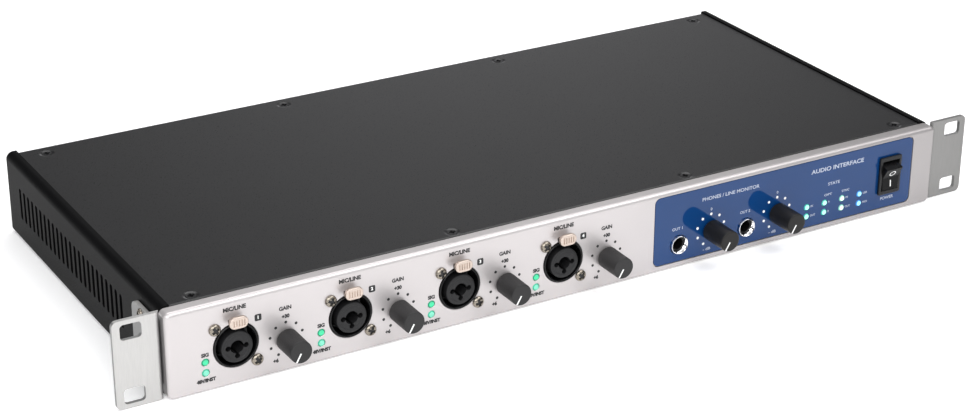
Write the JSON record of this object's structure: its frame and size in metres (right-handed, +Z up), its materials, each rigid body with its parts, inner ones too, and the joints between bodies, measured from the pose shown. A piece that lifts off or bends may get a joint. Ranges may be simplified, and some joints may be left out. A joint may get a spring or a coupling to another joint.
{
  "type": "rack audio interface",
  "caption": "One-unit rack audio interface: metal housing with rack ears, combination inputs, gain knobs, headphone outputs with level knobs, rocker switch.",
  "frame": {"origin": "centre of the footprint of the whole object, on the underside of the housing", "axes": "+X to the right seen from the front, across the rack; +Y from the front panel to the rear; +Z up"},
  "size_m": [0.4826, 0.242, 0.044],
  "materials": {
    "dark_paint": "matte powder coat",
    "satin_panel": "satin, fine horizontal brushing",
    "blue_overlay": "glossy",
    "zinc_ears": "satin zinc",
    "screw_steel": "polished",
    "black_plastic": "satin",
    "tab_nickel": "polished",
    "lamp_lens": "clear, lit",
    "gain_knob_grey": "matte",
    "phones_knob_black": "matte",
    "shaft_steel": "turned",
    "pot_metal": "plated",
    "jack_chrome": "polished",
    "connector_metal": "plated",
    "circuit_board": "solder mask",
    "supply_parts": "mixed components"
  },
  "bodies": {
    "chassis": {"base_tray": "dark_paint", "channel_light_pipe_1": "lamp_lens", "channel_light_pipe_2": "lamp_lens", "channel_light_pipe_3": "lamp_lens", "channel_light_pipe_4": "lamp_lens", "combo_jack_1": "black_plastic", "combo_jack_2": "black_plastic", "combo_jack_3": "black_plastic", "combo_jack_4": "black_plastic", "computer_ports": "connector_metal", "digital_input": "black_plastic", "digital_output": "black_plastic", "ear_screw_left_lower": "screw_steel", "ear_screw_left_upper": "screw_steel", "ear_screw_right_lower": "screw_steel", "ear_screw_right_upper": "screw_steel", "front_board": "circuit_board", "front_panel": "satin_panel", "gain_pot_1": "pot_metal", "gain_pot_2": "pot_metal", "gain_pot_3": "pot_metal", "gain_pot_4": "pot_metal", "line_input_jacks": "black_plastic", "line_output_jacks": "black_plastic", "main_board": "circuit_board", "mains_inlet": "black_plastic", "optical_ports": "black_plastic", "overlay_plate": "blue_overlay", "phones_jack_1": "jack_chrome", "phones_jack_2": "jack_chrome", "phones_pot_1": "pot_metal", "phones_pot_2": "pot_metal", "power_supply": "supply_parts", "power_switch": "black_plastic", "rack_ear_left": "zinc_ears", "rack_ear_right": "zinc_ears", "rear_panel": "dark_paint", "side_profile_left": "dark_paint", "side_profile_right": "dark_paint", "state_light_pipe": "lamp_lens", "top_cover": "dark_paint", "word_clock": "connector_metal"},
    "gain_control_1": {"gain_knob_1": "gain_knob_grey", "gain_shaft_1": "shaft_steel"},
    "gain_control_2": {"gain_knob_2": "gain_knob_grey", "gain_shaft_2": "shaft_steel"},
    "gain_control_3": {"gain_knob_3": "gain_knob_grey", "gain_shaft_3": "shaft_steel"},
    "gain_control_4": {"gain_knob_4": "gain_knob_grey", "gain_shaft_4": "shaft_steel"},
    "phones_control_1": {"phones_knob_1": "phones_knob_black", "phones_shaft_1": "shaft_steel"},
    "phones_control_2": {"phones_knob_2": "phones_knob_black", "phones_shaft_2": "shaft_steel"},
    "release_1": {"release_tab_1": "tab_nickel"},
    "release_2": {"release_tab_2": "tab_nickel"},
    "release_3": {"release_tab_3": "tab_nickel"},
    "release_4": {"release_tab_4": "tab_nickel"},
    "rocker": {"power_rocker": "black_plastic"}
  },
  "joints": [
    {"name": "gain_turn_1", "type": "hinge", "parent": "chassis", "child": "gain_control_1", "pos_m": [-0.16, -0.11, 0.0168], "axis": [0, 1, 0], "range_deg": [0, 300]},
    {"name": "gain_turn_2", "type": "hinge", "parent": "chassis", "child": "gain_control_2", "pos_m": [-0.1025, -0.11, 0.0168], "axis": [0, 1, 0], "range_deg": [0, 300]},
    {"name": "gain_turn_3", "type": "hinge", "parent": "chassis", "child": "gain_control_3", "pos_m": [-0.045, -0.11, 0.0168], "axis": [0, 1, 0], "range_deg": [0, 300]},
    {"name": "gain_turn_4", "type": "hinge", "parent": "chassis", "child": "gain_control_4", "pos_m": [0.0125, -0.11, 0.0168], "axis": [0, 1, 0], "range_deg": [0, 300]},
    {"name": "phones_turn_1", "type": "hinge", "parent": "chassis", "child": "phones_control_1", "pos_m": [0.0749, -0.11, 0.0169], "axis": [0, 1, 0], "range_deg": [0, 300]},
    {"name": "phones_turn_2", "type": "hinge", "parent": "chassis", "child": "phones_control_2", "pos_m": [0.1158, -0.11, 0.0169], "axis": [0, 1, 0], "range_deg": [0, 300]},
    {"name": "release_push_1", "type": "slide", "parent": "chassis", "child": "release_1", "axis": [0, 1, 0], "range_m": [0, 0.0014], "stiffness_N_per_m": 400, "springref_m": -0.0015},
    {"name": "release_push_2", "type": "slide", "parent": "chassis", "child": "release_2", "axis": [0, 1, 0], "range_m": [0, 0.0014], "stiffness_N_per_m": 400, "springref_m": -0.0015},
    {"name": "release_push_3", "type": "slide", "parent": "chassis", "child": "release_3", "axis": [0, 1, 0], "range_m": [0, 0.0014], "stiffness_N_per_m": 400, "springref_m": -0.0015},
    {"name": "release_push_4", "type": "slide", "parent": "chassis", "child": "release_4", "axis": [0, 1, 0], "range_m": [0, 0.0014], "stiffness_N_per_m": 400, "springref_m": -0.0015},
    {"name": "power_tilt", "type": "hinge", "parent": "chassis", "child": "rocker", "pos_m": [0.1882, -0.1015, 0.0223], "axis": [-1, 0, 0], "range_deg": [0, 26]}
  ]
}
